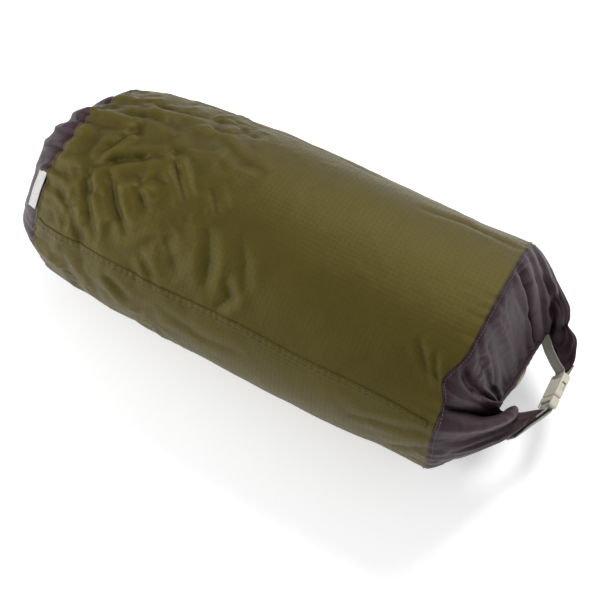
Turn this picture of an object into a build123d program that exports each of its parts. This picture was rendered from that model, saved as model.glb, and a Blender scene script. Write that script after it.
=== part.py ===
from build123d import *
import math
import os

os.makedirs("parts", exist_ok=True)

# A packed roll-top stuff sack lying on its side. X runs along the sack from its bottom to its mouth,
# Z is up from the ground, and the origin is the middle of the flat that the load presses on the ground.

# ---- driving dimensions, mm ----------------------------------------------------------------------
# packed body
sack_width = 262.0          # across the sack as it lies
sack_height = 204.0
body_length = 462.0         # bottom seam to collar seam
rest_flat = 110.0           # width of the flat strip underneath
girth_height = 94.0         # height of the widest line
end_bulge = 36.0            # bottom panel beyond its seam
dome_depth = 80.0           # the rounding into the bottom panel is a quarter ellipse, this long
dome_drop = 41.0            # and this deep
taper_length = 105.0        # the body narrows over this length before the dome
taper = 0.09                # share of its girth that it loses by the end

# cloth, seams and load
cloth = 0.8
lay_gap = 0.1               # between layers that are sewn together
load_gap = 0.4
binding_width = 8.0         # raw edges of the bottom seam, standing inward
binding_thickness = 1.6
fell_width = 8.0
fell_thickness = 0.8
side_seam_y = -112.0        # the lengthwise seam runs along the near upper side

# collar, gathered from the full girth to the flat neck
neck_width = 208.0
neck_height = 26.0
neck_shift = 8.0            # neck centre towards the far side
collar_fullness = 0.3       # share of the narrowing that is done halfway along

# mouth, rolled down around its stiff tape
roll_reach = 37.0           # collar seam to the roll's centre line
roll_height = 81.0
roll_diameter = 24.0
roll_near = -104.0
roll_far = 111.0
roll_clearance = 0.5        # collar to roll, so that the roll can turn

# webbing tape, along the mouth and through the buckle
tape_width = 15.0
tape_thickness = 1.5
tape_slot_clearance = 0.3
far_return = 15.0           # tape folded back past the socket
near_return = 17.0          # tape folded back past the plug
far_lean = 1.0              # outward lean of that end
near_tape_end = (31.0, -52.0)
bartack_length = 2.0
bartack_thickness = 0.5

# carry loop, in its own plane that droops from the roll
loop_droop = 25.0           # degrees below level
arm_thickness = 16.0
arm_rounding = 4.0
gap_far = 64.0              # ends of the finger gap along the roll
gap_near = -39.0
far_lobe = [(60.0, 54.0), (52.0, 72.0), (29.0, 97.0)]
near_fold_crest = (39.0, -10.0)
near_fold_hem = (12.0, -86.0)

# side-release buckle for 15 mm tape
buckle_out = 51.0           # roll centre line to buckle centre
buckle_side = 20.6          # buckle centre towards the far side
buckle_length = 42.0
buckle_width = 22.0
buckle_thickness = 8.5
socket_length = 29.0
bar_depth = 3.0
bar_thickness = 3.4
bar_slot = 3.8
mating_gap = 0.3
cavity_width = 16.6
cavity_thickness = 5.0
cavity_wall = 1.8           # socket wall between the cavity and the tape slot
window_start = 1.0          # from the buckle's centre
window_length = 9.5
prong_root = 5.4            # prong centre line from the buckle's centre line
prong_width = 2.4
prong_thickness = 4.4
prong_reach = 11.8
barb_width = 20.6
latch_width = 19.2          # across the two latching corners
tongue_width = 2.4
tongue_thickness = 3.0

buckle_corner = 2.5
buckle_edge = 1.0

# woven label caught in the bottom seam
label_length = 40.0
label_width = 14.0
label_thickness = 0.6
label_gap = 0.5
label_angle = 136.0         # degrees round the crown, from the far side

# ---- places worked out from them -----------------------------------------------------------------
x_bottom_seam = -body_length / 2
x_collar_seam = body_length / 2
x_bottom_end = x_bottom_seam - end_bulge
x_dome = x_bottom_end + dome_depth
x_taper = x_dome + taper_length
x_roll = x_collar_seam + roll_reach
x_neck = x_roll - roll_diameter / 2 - roll_clearance
droop = math.radians(loop_droop)
out = Vector(math.cos(droop), 0, -math.sin(droop))
up = Vector(math.sin(droop), 0, math.cos(droop))

loop_plane = Plane(origin=(x_roll, 0, roll_height), x_dir=out, z_dir=up)
roll_plane = Plane(origin=(x_roll, roll_near, roll_height), x_dir=out, z_dir=(0, 1, 0))
buckle_centre = loop_plane.from_local_coords(Vector(buckle_out, buckle_side, 0))
buckle_plane = Plane(origin=buckle_centre, x_dir=(0, 1, 0), z_dir=out)

# ---- the packed form that the skins and the load share ---------------------------------------------
def sack_section(x, width, height, flat, girth, inset, lift=0.0, shift=0.0):
    """Flat-bottomed oval across the sack at x: half an ellipse above the girth line, a flat
    underneath and two quarter ellipses between them, with every edge moved inward by inset."""
    half = width / 2 - inset
    half_flat = flat / 2
    section_plane = Plane(origin=(x, shift, lift), x_dir=(0, 1, 0), z_dir=(1, 0, 0))
    with BuildSketch(section_plane) as section:
        with BuildLine():
            Line((-half_flat, inset), (half_flat, inset))
            EllipticalCenterArc((half_flat, girth), half - half_flat, girth - inset, 270, arc_size=90)
            EllipticalCenterArc((0, girth), half, height - girth - inset, 0, arc_size=180)
            EllipticalCenterArc((-half_flat, girth), half - half_flat, girth - inset, 180, arc_size=90)
        make_face()
    return section.sketch


def body_section(x, inset):
    """Section of the body: full girth, then a straight taper, then the dome that leads into the
    bottom panel. The inset turns from sideways to endways as the dome does."""
    scale = 1 - taper * max(0, x_taper - x) / (x_taper - x_bottom_end)
    lean = max(0, x_dome - x) / dome_depth
    level = math.sqrt(1 - lean**2)
    drop = dome_drop * (1 - level) + inset * level
    flat = rest_flat * (scale - (1 - scale) * lean)
    return sack_section(
        x + inset * lean,
        sack_width * scale,
        sack_height * scale,
        flat,
        girth_height * scale,
        drop,
    )


def collar_section(x, share, inset):
    """Section of the collar, where share of the narrowing to the flat neck is done."""
    return sack_section(
        x,
        sack_width + (neck_width - sack_width) * share,
        sack_height + (neck_height - sack_height) * share,
        rest_flat + (neck_width - neck_height - rest_flat) * share,
        girth_height + (neck_height / 2 - girth_height) * share,
        inset,
        lift=(roll_height - neck_height / 2) * share,
        shift=neck_shift * share,
    )


def packed_form(inset):
    """The filled sack from its bottom panel to its neck, with every face moved inward by inset."""
    seam = x_collar_seam - inset
    neck = x_neck - inset
    dome_leans = (1, 0.93, 0.75, 0.45, 0)
    with BuildPart() as form:
        loft([body_section(x_dome - lean * dome_depth, inset) for lean in dome_leans])
        loft([body_section(x_dome, inset), body_section(x_taper, inset)], ruled=True)
        extrude(body_section(x_taper, inset), amount=seam - x_taper)
        loft([
            collar_section(seam, 0, inset),
            collar_section((seam + neck) / 2, collar_fullness, inset),
            collar_section(neck, 1, inset),
        ])
    return form.part


def slab(x_from, x_to):
    """A block wider than the sack between two planes across it."""
    with BuildPart(Plane.YZ.offset(x_from)) as block:
        Box(3 * sack_width, 3 * sack_height, x_to - x_from, align=(Align.CENTER, Align.CENTER, Align.MIN))
    return block.part


outer_form = packed_form(0)
inner_form = packed_form(cloth)
lining_form = packed_form(cloth + lay_gap)
fell_form = packed_form(cloth + lay_gap + fell_thickness)
load_form = packed_form(cloth + load_gap)
binding_form = packed_form(cloth + lay_gap + binding_width)
skin = outer_form - inner_form

# ---- body: three cloth panels and their seams --------------------------------------------------------
with BuildPart() as bottom_panel:
    add(skin)
    split(bisect_by=Plane.YZ.offset(x_bottom_seam), keep=Keep.BOTTOM)

with BuildPart() as body_panel:
    add(skin)
    split(bisect_by=Plane.YZ.offset(x_bottom_seam), keep=Keep.TOP)
    split(bisect_by=Plane.YZ.offset(x_collar_seam), keep=Keep.BOTTOM)

with BuildPart() as collar_panel:
    add(skin)
    split(bisect_by=Plane.YZ.offset(x_collar_seam), keep=Keep.TOP)

binding_slab = slab(x_bottom_seam - binding_thickness / 2, x_bottom_seam + binding_thickness / 2)
with BuildPart() as bottom_seam_binding:
    add(lining_form)
    add(binding_form, mode=Mode.SUBTRACT)
    add(binding_slab, mode=Mode.INTERSECT)

fell_slab = slab(x_collar_seam, x_collar_seam + fell_width)
with BuildPart() as collar_seam_fell:
    add(lining_form)
    add(fell_form, mode=Mode.SUBTRACT)
    add(fell_slab, mode=Mode.INTERSECT)

with BuildPart() as packed_load:
    add(load_form)
    add(bottom_seam_binding.part, mode=Mode.SUBTRACT)
    add(collar_seam_fell.part, mode=Mode.SUBTRACT)

# the lengthwise seam is a double strip on the outside of the body
seam_z = girth_height + (sack_height - girth_height) * math.sqrt(1 - (2 * side_seam_y / sack_width) ** 2)
fell_outside = packed_form(-fell_thickness - lay_gap) - packed_form(-lay_gap)
with BuildPart() as side_seam_fell:
    add(fell_outside)
    with Locations(Location((0, side_seam_y, seam_z))):
        Box(body_length - 2 * fell_width, fell_width, 3 * fell_width, mode=Mode.INTERSECT)

# ---- mouth roll with the tape inside it --------------------------------------------------------------
roll_length = roll_far - roll_near
with BuildPart() as mouth_roll:
    with BuildSketch(roll_plane):
        Circle(roll_diameter / 2)
    extrude(amount=roll_length)
    fillet(mouth_roll.edges(), radius=roll_diameter / 4)
    with BuildSketch(roll_plane):
        Rectangle(tape_thickness + 2 * tape_slot_clearance, tape_width + 2 * tape_slot_clearance)
    extrude(amount=roll_length, mode=Mode.SUBTRACT)

with BuildPart() as mouth_tape:
    with BuildSketch(roll_plane.offset(cloth)):
        Rectangle(tape_thickness, tape_width)
    extrude(amount=roll_length - 2 * cloth)

# ---- tape through the buckle's two bars ----------------------------------------------------------------
leg_offset = bar_thickness / 2 + lay_gap + tape_thickness / 2
inner_leg = buckle_out - leg_offset
outer_leg = buckle_out + leg_offset
far_end = buckle_side + buckle_length / 2
near_end = buckle_side - buckle_length / 2
far_turn = far_end - bar_depth
near_turn = near_end + bar_depth
near_run = Vector(near_tape_end[0] - outer_leg, near_tape_end[1] - near_end).normalized()
far_tape_start = (roll_diameter / 2 + 1.5 * tape_thickness, gap_far + 2 * tape_thickness)
straight_exit = 2 * tape_thickness


def tape_part(points, bulge, back_points, grown=0):
    """Tape standing on edge: it follows points to the bar, turns round it in a half circle that
    reaches bulge and goes back along back_points. grown widens it all round, for the room it needs."""
    with BuildPart() as strip:
        with BuildSketch(loop_plane):
            with BuildLine():
                FilletPolyline(*points, radius=2 * tape_thickness)
                ThreePointArc(points[-1], (buckle_out, bulge), back_points[0])
                FilletPolyline(*back_points, radius=2 * tape_thickness)
            trace(line_width=tape_thickness + 2 * grown)
        extrude(amount=tape_width / 2 + grown, both=True)
    return strip.part


far_knee = (inner_leg, far_end + straight_exit)
far_back_end = (outer_leg + far_lean, far_end + far_return)
far_route = (
    [far_tape_start, far_knee, (inner_leg, far_turn)],
    far_turn - leg_offset,
    [(outer_leg, far_turn), (outer_leg, far_end + straight_exit), far_back_end],
)
with BuildPart() as socket_tape:
    add(tape_part(*far_route))

near_knee = (outer_leg, near_end - straight_exit)
back_knee = (inner_leg, near_end - straight_exit)
back_end = (inner_leg + near_return * near_run.X, back_knee[1] + near_return * near_run.Y)
near_route = (
    [near_tape_end, near_knee, (outer_leg, near_turn)],
    near_turn + leg_offset,
    [(inner_leg, near_turn), back_knee, back_end],
)
with BuildPart() as plug_tape:
    add(tape_part(*near_route))

# ---- arms: the two ends of the roll, bent outwards to the buckle ------------------------------------------
with BuildPart() as roll_room:
    with BuildSketch(roll_plane.offset(-arm_thickness)):
        Circle(roll_diameter / 2 + lay_gap)
    extrude(amount=roll_length + 2 * arm_thickness)


def arm_part(straight_points, outer_points, tape_route):
    """A flattened end of the roll: a plate in the loop plane, straight along the gap and the tape and
    curved with rounded rims along outer_points, cut clear of the roll and of its tape."""
    tape_room = tape_part(*tape_route, grown=lay_gap)
    with BuildPart() as arm:
        with BuildSketch(loop_plane):
            with BuildLine():
                Polyline(*straight_points)
                Spline(straight_points[-1], *outer_points)
                Line(outer_points[-1], straight_points[0])
            make_face()
        extrude(amount=arm_thickness / 2, both=True)
        fillet(arm.edges().filter_by(GeomType.BSPLINE), radius=arm_rounding)
        add(roll_room.part, mode=Mode.SUBTRACT)
        add(tape_room, mode=Mode.SUBTRACT)
    return arm.part


far_tip = far_end + 2 * lay_gap
far_straight = [(0, far_tape_start[1]), far_tape_start, far_knee, (inner_leg, far_tip), (outer_leg, far_tip)]
with BuildPart() as far_arm_cloth:
    add(arm_part(far_straight, far_lobe + [(0, roll_far)], far_route))

near_tip = near_end - 2 * lay_gap
near_straight = [
    (0, gap_near),
    near_fold_crest,
    (inner_leg, near_tip),
    (outer_leg, near_tip),
    near_knee,
    near_tape_end,
]
with BuildPart() as near_arm_cloth:
    add(arm_part(near_straight, [near_fold_hem, (0, roll_near)], near_route))


def bartack(start, along, facing):
    """Three bars of close thread across the tape, lying on the face of a leg."""
    rows = [start + along * (bartack_length * (2 * row + 1)) for row in range(3)]
    with BuildPart() as tack:
        for row in rows:
            centre = loop_plane.from_local_coords(row + facing * (bartack_thickness / 2))
            across = (loop_plane.from_local_coords(along) - loop_plane.origin).normalized()
            with BuildSketch(Plane(origin=centre, x_dir=across, z_dir=up)):
                Rectangle(bartack_length, bartack_thickness)
        extrude(amount=tape_width * 0.4, both=True)
    return tack.part


far_run = (Vector(*far_tape_start) - Vector(inner_leg, far_end + straight_exit)).normalized()
far_facing = Vector(-far_run.Y, far_run.X)
far_tack_start = Vector(*far_knee) + far_run * 3 * tape_thickness
tack_lift = tape_thickness / 2 + lay_gap / 4
with BuildPart() as socket_bartack:
    add(bartack(far_tack_start + far_facing * tack_lift, far_run, far_facing))

near_facing = Vector(-near_run.Y, near_run.X)
near_tack_start = Vector(*near_knee) + near_run * 3 * tape_thickness
with BuildPart() as plug_bartack:
    add(bartack(near_tack_start + near_facing * tack_lift, near_run, near_facing))

# ---- side-release buckle: X along the strap, Y across it, Z through its thickness in the buckle's plane ----
half_length = buckle_length / 2
tape_opening = tape_width + 4 * tape_slot_clearance
socket_start = half_length - socket_length
plug_face = socket_start - mating_gap
plug_length = half_length + plug_face
cavity_end = half_length - bar_depth - bar_slot - cavity_wall
prong_pivot = plug_face + lay_gap + prong_width / 2


def buckle_block(x_low, x_high):
    """A shell of the buckle, in the buckle plane's own coordinates, with rounded corners and edges and
    its tape bar at the end away from the middle: the tape's opening is cut through and the bar put
    back across it."""
    outward = math.copysign(1, x_low + x_high)
    bar_middle = outward * (half_length - bar_depth / 2)
    opening = bar_depth + bar_slot
    with BuildPart() as block:
        with BuildSketch():
            with Locations(((x_low + x_high) / 2, 0)):
                RectangleRounded(x_high - x_low, buckle_width, buckle_corner)
        extrude(amount=buckle_thickness / 2, both=True)
        skins = block.faces().sort_by(Axis.Z)
        fillet(skins[0].edges() + skins[-1].edges(), radius=buckle_edge)
        with Locations((outward * (half_length - opening / 2), 0)):
            Box(opening, tape_opening, buckle_thickness, mode=Mode.SUBTRACT)
        with Locations((bar_middle, 0)):
            Box(bar_depth, tape_opening + buckle_edge, bar_thickness)
    return block.part


with BuildPart(buckle_plane) as buckle_socket:
    add(buckle_block(socket_start, half_length))
    with Locations(((socket_start + cavity_end) / 2, 0)):
        Box(cavity_end - socket_start, cavity_width, cavity_thickness, mode=Mode.SUBTRACT)
    with Locations((window_start + window_length / 2, 0)):
        Box(window_length, buckle_width, cavity_thickness, mode=Mode.SUBTRACT)

with BuildPart(buckle_plane) as buckle_plug:
    add(buckle_block(-half_length, plug_face))
    with Locations(((plug_face + prong_reach) / 2 - buckle_edge, 0)):
        Box(prong_reach - plug_face, tongue_width, tongue_thickness)
    tongue_tip = buckle_plug.faces().sort_by(Axis.Y)[-1]
    fillet(tongue_tip.edges(), radius=tongue_width / 4)


def prong_part(side):
    """A sprung arm with a barb: it leaves the plug at a round root, and its barb stands in the
    socket's window behind the latching corner. side is 1 above the tongue and -1 below it."""
    latch = window_start + mating_gap
    root_inner = prong_root - prong_width / 2
    root_outer = prong_root + prong_width / 2
    barb_points = [
        (prong_pivot, root_outer),
        (latch, root_outer + mating_gap),
        (latch, latch_width / 2),
        (latch + window_length / 2, barb_width / 2),
        (latch + window_length * 0.83, latch_width / 2),
        (prong_reach, root_outer - mating_gap),
        (prong_reach, root_inner + 2 * mating_gap),
        (prong_pivot, root_inner),
    ]
    placed = [(along, side * across) for along, across in barb_points]
    with BuildPart() as prong:
        with BuildSketch(buckle_plane):
            with BuildLine():
                Polyline(*placed)
                ThreePointArc(placed[-1], (prong_pivot - prong_width / 2, side * prong_root), placed[0])
            make_face()
        extrude(amount=prong_thickness / 2, both=True)
        skins = prong.faces().sort_by(Axis(buckle_centre, out))
        chamfer(skins[0].edges() + skins[-1].edges(), length=mating_gap)
    return prong.part


with BuildPart() as plug_prong_upper:
    add(prong_part(1))

with BuildPart() as plug_prong_lower:
    add(prong_part(-1))

# ---- label, caught by its long edge in the bottom seam and lying against the bottom panel ------------------
around = math.radians(label_angle)
seam_scale = 1 - taper * (x_taper - x_bottom_seam) / (x_taper - x_bottom_end)
seam_half = sack_width / 2 * seam_scale
seam_crown = (sack_height - girth_height) * seam_scale
seam_share = (dome_depth - end_bulge) / dome_depth
seam_level = math.sqrt(1 - seam_share**2)
seam_drop = dome_drop * (1 - seam_level)
taper_lean = taper * sack_width / 2 / (x_taper - x_bottom_end)
seam_lean = math.atan(dome_drop * seam_share / (dome_depth * seam_level) + taper_lean)
across_seam = Vector(0, math.cos(around) * seam_crown, math.sin(around) * seam_half).normalized()
crown_point = Vector(
    x_bottom_seam,
    seam_half * math.cos(around),
    girth_height * seam_scale + seam_crown * math.sin(around),
)
label_out = across_seam * math.cos(seam_lean) - Vector(math.sin(seam_lean), 0, 0)
label_down = across_seam * -math.sin(seam_lean) - Vector(math.cos(seam_lean), 0, 0)
label_hinge = crown_point - across_seam * seam_drop + label_out * label_gap
label_plane = Plane(origin=label_hinge, x_dir=label_down.cross(label_out), z_dir=label_out)
with BuildPart() as label:
    with BuildSketch(label_plane):
        with Locations((0, label_width / 2)):
            RectangleRounded(label_length, label_width, label_thickness)
    extrude(amount=label_thickness)

for piece, name in (
    (bottom_panel, "bottom_panel"),
    (body_panel, "body_panel"),
    (collar_panel, "collar_panel"),
    (bottom_seam_binding, "bottom_seam_binding"),
    (collar_seam_fell, "collar_seam_fell"),
    (side_seam_fell, "side_seam_fell"),
    (packed_load, "packed_load"),
    (mouth_roll, "mouth_roll"),
    (mouth_tape, "mouth_tape"),
    (socket_tape, "socket_tape"),
    (plug_tape, "plug_tape"),
    (socket_bartack, "socket_bartack"),
    (plug_bartack, "plug_bartack"),
    (far_arm_cloth, "far_arm_cloth"),
    (near_arm_cloth, "near_arm_cloth"),
    (buckle_socket, "buckle_socket"),
    (buckle_plug, "buckle_plug"),
    (plug_prong_upper, "plug_prong_upper"),
    (plug_prong_lower, "plug_prong_lower"),
    (label, "label"),
):
    piece.part.label = name
    export_step(piece.part, f"parts/{name}.step")
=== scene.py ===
import math

import bmesh
import bpy
import numpy as np
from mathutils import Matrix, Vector


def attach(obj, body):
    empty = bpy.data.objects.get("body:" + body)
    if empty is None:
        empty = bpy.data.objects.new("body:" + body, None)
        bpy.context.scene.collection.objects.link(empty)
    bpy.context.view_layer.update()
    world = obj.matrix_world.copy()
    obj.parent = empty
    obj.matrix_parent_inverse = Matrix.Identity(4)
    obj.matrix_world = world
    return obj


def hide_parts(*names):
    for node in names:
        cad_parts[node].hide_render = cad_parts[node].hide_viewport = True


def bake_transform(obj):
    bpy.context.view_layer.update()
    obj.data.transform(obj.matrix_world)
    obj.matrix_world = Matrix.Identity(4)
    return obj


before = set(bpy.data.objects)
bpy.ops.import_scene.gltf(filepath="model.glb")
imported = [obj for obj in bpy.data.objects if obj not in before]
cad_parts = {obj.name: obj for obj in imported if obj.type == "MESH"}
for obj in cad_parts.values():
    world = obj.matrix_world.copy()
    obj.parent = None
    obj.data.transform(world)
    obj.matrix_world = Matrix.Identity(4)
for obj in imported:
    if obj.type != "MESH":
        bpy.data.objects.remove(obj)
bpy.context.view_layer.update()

# ---- studio ------------------------------------------------------------------------------------
# A white table under a large soft overhead light and a pale surround. The sack is seen from
# above its near side, turned a little towards the mouth.
scene = bpy.context.scene
scene.view_settings.view_transform = "Standard"
camera_aim = Vector((0.0495, -0.0361, 0.102))
camera_distance = 0.919
azimuth, elevation = math.radians(30.1), math.radians(58.9)
towards_camera = Vector((
    math.sin(azimuth) * math.cos(elevation),
    -math.cos(azimuth) * math.cos(elevation),
    math.sin(elevation),
))
camera_data = bpy.data.cameras.new("camera")
camera_data.lens = 54
camera_data.sensor_width = 36
camera = bpy.data.objects.new("camera", camera_data)
camera.location = camera_aim + towards_camera * camera_distance
camera.rotation_euler = towards_camera.to_track_quat("Z", "Y").to_euler()
scene.collection.objects.link(camera)
scene.camera = camera

surround = bpy.data.worlds.new("pale_surround")
surround.use_nodes = True
surround.node_tree.nodes["Background"].inputs["Color"].default_value = (0.97, 0.98, 1.0, 1)
surround.node_tree.nodes["Background"].inputs["Strength"].default_value = 0.47
scene.world = surround


def soft_light(name, place, aim, size, power):
    """A square area light at place that faces aim."""
    data = bpy.data.lights.new(name, "AREA")
    data.shape = "SQUARE"
    data.size = size
    data.energy = power
    light = bpy.data.objects.new(name, data)
    light.location = place
    light.rotation_euler = (Vector(place) - Vector(aim)).to_track_quat("Z", "Y").to_euler()
    scene.collection.objects.link(light)


soft_light("far_light", (0.12, 0.95, 1.3), (0.0, 0.0, 0.1), 0.5, 17)
soft_light("near_light", (-1.2, -1.0, 0.75), (-0.05, -0.1, 0.08), 0.6, 15)


class Signal:
    """One output of a shader node. Sums, products and comparisons on it add Math nodes."""

    def __init__(self, tree, output):
        self.tree, self.output = tree, output

    def maths(self, operation, *values):
        node = self.tree.nodes.new("ShaderNodeMath")
        node.operation = operation
        for socket, value in zip(node.inputs, values):
            if isinstance(value, Signal):
                self.tree.links.new(value.output, socket)
            else:
                socket.default_value = value
        return Signal(self.tree, node.outputs[0])

    def __add__(self, other):
        return self.maths("ADD", self, other)

    def __radd__(self, other):
        return self.maths("ADD", other, self)

    def __sub__(self, other):
        return self.maths("SUBTRACT", self, other)

    def __rsub__(self, other):
        return self.maths("SUBTRACT", other, self)

    def __mul__(self, other):
        return self.maths("MULTIPLY", self, other)

    def __rmul__(self, other):
        return self.maths("MULTIPLY", other, self)

    def sine(self):
        return self.maths("SINE", self)

    def waves(self, length):
        """A sine of the given wavelength."""
        return (self * (math.tau / length)).sine()

    def from_line(self, spacing):
        """Distance to the nearest of the lines that lie spacing apart."""
        return self.maths("PINGPONG", self, spacing / 2)

    def below(self, edge, softness):
        """1 under edge, 0 above edge + softness and a ramp between."""
        ramp = (edge + softness - self) * (1 / softness)
        return ramp.maths("MINIMUM", ramp.maths("MAXIMUM", ramp, 0), 1)


class Finish:
    """A material and its node tree. node() makes any node, surface() the Principled shader."""

    def __init__(self, name):
        self.material = bpy.data.materials.new(name)
        self.material.use_nodes = True
        self.tree = self.material.node_tree
        self.tree.nodes.clear()

    def node(self, kind, settings=None, inputs=None, output=0):
        node = self.tree.nodes.new(kind)
        for key, value in (settings or {}).items():
            if key == "stops":
                ramp = node.color_ramp.elements
                while len(ramp) < len(value):
                    ramp.new(1)
                for element, (position, shade) in zip(ramp, value):
                    element.position, element.color = position, shade
            else:
                setattr(node, key, value)
        for key, value in (inputs or {}).items():
            if isinstance(value, Signal):
                self.tree.links.new(value.output, node.inputs[key])
            else:
                node.inputs[key].default_value = value
        return Signal(self.tree, node.outputs[output])

    def solid(self):
        """Object coordinates: the place in space, in metres."""
        return self.node("ShaderNodeTexCoord", output=3)

    def cloth_ways(self):
        """The piece's cloth coordinates, across and along, in metres."""
        place = self.node("ShaderNodeUVMap", {"uv_map": "cloth"})
        return [self.node("ShaderNodeSeparateXYZ", inputs={0: place}, output=way) for way in (0, 1)]

    def noise(self, place, size, detail=2.0, roughness=0.5):
        """Noise from 0 to 1 with lumps of about the given size in metres."""
        values = {"Vector": place, "Scale": 1 / size, "Detail": detail, "Roughness": roughness}
        return self.node("ShaderNodeTexNoise", inputs=values)

    def blend(self, share, first, second):
        """A colour that goes from first to second with share. Mix holds its colours at 6 and 7."""
        settings = {"data_type": "RGBA", "clamp_factor": True}
        return self.node("ShaderNodeMix", settings, {0: share, 6: first, 7: second}, output=2)

    def bump(self, height, distance, strength=1.0, under=None):
        values = {"Height": height, "Distance": distance, "Strength": strength}
        if under is not None:
            values["Normal"] = under
        return self.node("ShaderNodeBump", inputs=values)

    def surface(self, **values):
        named = {key.replace("_", " "): value for key, value in values.items()}
        shader = self.node("ShaderNodeBsdfPrincipled", inputs=named)
        end = self.tree.nodes.new("ShaderNodeOutputMaterial")
        self.tree.links.new(shader.output, end.inputs["Surface"])
        return self.material


table = Finish("table_white")
table_tone = table.noise(table.solid(), 0.4) * 0.02 + 0.93
table_shade = table.node("ShaderNodeCombineColor", inputs={0: table_tone, 1: table_tone, 2: table_tone})
table_top = table.surface(
    Base_Color=table_shade, Roughness=0.8, Emission_Color=(1, 1, 1, 1), Emission_Strength=0.38,
)
floor_mesh = bpy.data.meshes.new("floor")
floor_mesh.from_pydata([(-30, -30, 0), (30, -30, 0), (30, 30, 0), (-30, 30, 0)], [], [(0, 1, 2, 3)])
floor_mesh.materials.append(table_top)
floor = bpy.data.objects.new("floor", floor_mesh)
scene.collection.objects.link(floor)

# ---- packed form -------------------------------------------------------------------------------
# The sack is one tube of light nylon, stuffed until it stands as a flat-bottomed oval, that narrows
# a little towards its bottom and rounds off into the bottom panel. Everything is in metres.
sack_width, sack_height = 0.262, 0.204
rest_flat, girth_height = 0.110, 0.094
bottom_seam_x, collar_seam_x = -0.231, 0.231
bottom_end_x, dome_depth, dome_drop = -0.267, 0.080, 0.041
dome_x = bottom_end_x + dome_depth
taper_x, taper = dome_x + 0.105, 0.09


def ring_shares(count):
    """Four arrays that make any section of the sack, at count points a constant arc apart, starting
    and ending at the middle of the underside and going up the near side. A section is a flat, two
    lower quarter ellipses and an upper half ellipse: y = flat/2 * a + (width - flat)/2 * b and
    z = girth * g + (height - girth) * h."""
    t = np.linspace(0, 1, 300)
    quarter, none, one = t * np.pi / 2, np.zeros(300), np.ones(300)
    over = np.pi * (1 - t)
    a = np.concatenate([-t, -one, np.cos(over), one, 1 - t])
    b = np.concatenate([none, -np.sin(quarter), np.cos(over), np.cos(quarter), none])
    g = np.concatenate([none, 1 - np.cos(quarter), one, 1 - np.sin(quarter), none])
    h = np.concatenate([none, none, np.sin(over), none, none])
    y = rest_flat / 2 * a + (sack_width - rest_flat) / 2 * b
    z = girth_height * g + (sack_height - girth_height) * h
    run = np.concatenate([[0], np.cumsum(np.hypot(np.diff(y), np.diff(z)))])
    marks = np.linspace(0, run[-1], count + 1)
    return [np.interp(marks, run, share) for share in (a, b, g, h)], run[-1]


def packed_form(x, shares):
    """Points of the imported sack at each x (rows) and ring share (columns): the full section, its
    straight taper, and the quarter ellipse that moves every edge inward by drop near the bottom."""
    a, b, g, h = (share[None, :] for share in shares)
    before_taper = (taper_x - x + np.hypot(taper_x - x, 0.03)) / 2
    scale = 1 - taper * before_taper / (taper_x - bottom_end_x)
    lean = np.clip(dome_x - x, 0, None) / dome_depth
    drop = dome_drop * (1 - np.sqrt(np.clip(1 - lean**2, 0, None)))
    flat = rest_flat / 2 * (scale - (1 - scale) * lean)
    half = sack_width / 2 * scale - drop
    low = girth_height * scale - drop
    high = (sack_height - girth_height) * scale - drop
    rows = (x, scale, drop, flat, half, low, high)
    x, scale, drop, flat, half, low, high = (row[:, None] for row in rows)
    y = flat * a + (half - flat) * b
    z = drop + low * g + high * h
    return np.stack([np.broadcast_to(x, y.shape), y, z], axis=-1)


around_count = 160
shares, girth = ring_shares(around_count)
seam_lean = math.asin((dome_x - bottom_seam_x) / dome_depth)
dome_turn = np.concatenate([np.linspace(np.pi / 2, seam_lean, 13), np.linspace(seam_lean, 0, 9)[1:]])
straight_x = np.linspace(dome_x, collar_seam_x, 88)[1:]
row_x = np.concatenate([dome_x - dome_depth * np.sin(dome_turn), straight_x])
form = packed_form(row_x, shares)
seam_row = 12


def grid_faces(rows, columns, closed=False):
    """Quads of a rows by columns grid of points. A closed grid joins its last column to its first."""
    first = np.arange(rows * columns).reshape(rows, columns)
    if closed:
        first = np.concatenate([first, first[:, :1]], axis=1)
    corners = (first[:-1, :-1], first[:-1, 1:], first[1:, 1:], first[1:, :-1])
    return np.stack(corners, axis=-1).reshape(-1, 4)


def normals(points, closed=False):
    """Unit normals of a grid of points, from the differences along its rows and columns."""
    if closed:
        padded = np.concatenate([points[:, -1:], points, points[:, :1]], axis=1)
        across = padded[:, 2:] - padded[:, :-2]
    else:
        across = np.gradient(points, axis=1)
    normal = np.cross(across, np.gradient(points, axis=0))
    return normal / np.maximum(np.linalg.norm(normal, axis=-1, keepdims=True), 1e-12)


def smoothed(values, passes):
    """Values of a closed grid, averaged with their neighbours along and across passes times."""
    for _ in range(passes):
        values = (np.roll(values, 1, 1) + 2 * values + np.roll(values, -1, 1)) / 4
        inner = (values[:-2] + 2 * values[1:-1] + values[2:]) / 4
        values = np.concatenate([values[:1], inner, values[-1:]])
    return values


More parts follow.
